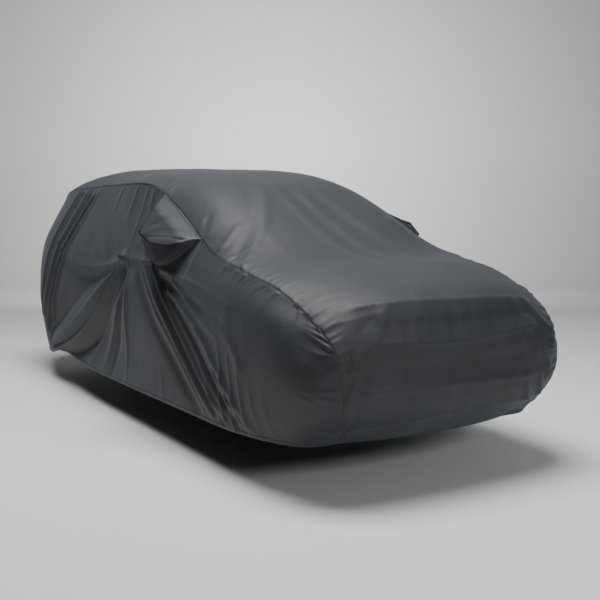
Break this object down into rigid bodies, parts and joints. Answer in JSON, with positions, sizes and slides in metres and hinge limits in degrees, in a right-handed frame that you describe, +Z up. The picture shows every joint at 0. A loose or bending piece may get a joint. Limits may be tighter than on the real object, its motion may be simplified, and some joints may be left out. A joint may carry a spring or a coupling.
{
  "type": "fitted car cover",
  "caption": "Loose fitted cloth cover in the shape of an estate-type car, open below, with a pocket for each door mirror.",
  "frame": {"origin": "roof seat: the point on the underside of the roof cloth, on the middle plane, 1.60 m behind the front axle's place", "axes": "+X towards the car's front, +Y towards the car's left, +Z up"},
  "size_m": [4.9404, 2.133, 1.5521],
  "materials": {
    "charcoal cloth": "matte woven"
  },
  "bodies": {
    "root": {"centre_panel": "charcoal cloth", "right_side_panel": "charcoal cloth", "left_side_panel": "charcoal cloth", "right_mirror_pocket": "charcoal cloth", "left_mirror_pocket": "charcoal cloth"}
  },
  "joints": []
}
